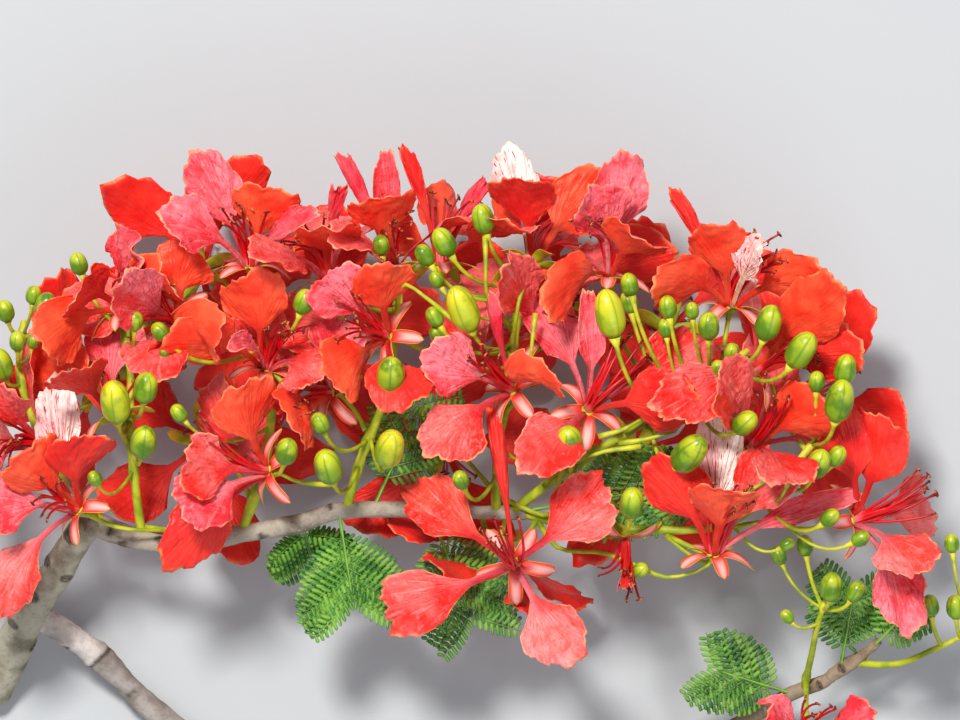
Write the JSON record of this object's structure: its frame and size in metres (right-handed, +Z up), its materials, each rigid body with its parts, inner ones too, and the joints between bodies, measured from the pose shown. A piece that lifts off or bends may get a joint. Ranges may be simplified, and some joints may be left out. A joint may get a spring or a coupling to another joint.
{
  "type": "flowering branch of a flame tree, cut",
  "caption": "Cut branch of a flame tree lying on its side: grey limbs, green flower stalks with egg-shaped buds, red five-petalled blooms and feathered leaves.",
  "frame": {"origin": "middle of the branch's outline seen from above, on the surface it lies on", "axes": "+X along the branch, from the cut end of the main limb towards the far flower stalks; +Y towards the crown of bloom; +Z up from the surface, towards the side that shows most bloom"},
  "size_m": [0.553, 0.3655, 0.1826],
  "materials": {
    "bark": "rough",
    "bloom": "soft matt",
    "stalk": "satin",
    "leaf": "soft matt"
  },
  "bodies": {
    "root": {"bloom_01": "bloom", "bloom_02": "bloom", "bloom_03": "bloom", "bloom_04": "bloom", "bloom_05": "bloom", "bloom_06": "bloom", "bloom_07": "bloom", "bloom_08": "bloom", "bloom_09": "bloom", "bloom_10": "bloom", "bloom_11": "bloom", "bloom_12": "bloom", "bloom_13": "bloom", "bloom_14": "bloom", "bloom_15": "bloom", "bloom_16": "bloom", "bloom_17": "bloom", "bloom_18": "bloom", "bloom_19": "bloom", "bloom_20": "bloom", "bloom_21": "bloom", "bloom_22": "bloom", "bloom_23": "bloom", "bloom_24": "bloom", "bloom_25": "bloom", "bloom_26": "bloom", "bloom_27": "bloom", "bloom_28": "bloom", "bloom_29": "bloom", "bloom_30": "bloom", "bloom_31": "bloom", "bloom_32": "bloom", "bloom_33": "bloom", "bloom_34": "bloom", "bloom_35": "bloom", "bloom_36": "bloom", "flower_twig": "bark", "leaf_below_fork": "leaf", "leaf_below_twig": "leaf", "leaf_centre": "leaf", "leaf_front": "leaf", "leaf_lower_end": "leaf", "leaf_lower_near": "leaf", "leaf_lower_top": "leaf", "leaf_right": "leaf", "lower_limb_far": "bark", "lower_limb_near": "bark", "lower_right_twig": "bark", "main_limb": "bark", "raceme_centre": "stalk", "raceme_far_left": "stalk", "raceme_left": "stalk", "raceme_left_centre": "stalk", "raceme_left_edge": "stalk", "raceme_lower_end": "stalk", "raceme_lower_near": "stalk", "raceme_right_low": "stalk", "raceme_right_upper": "stalk"}
  },
  "joints": []
}
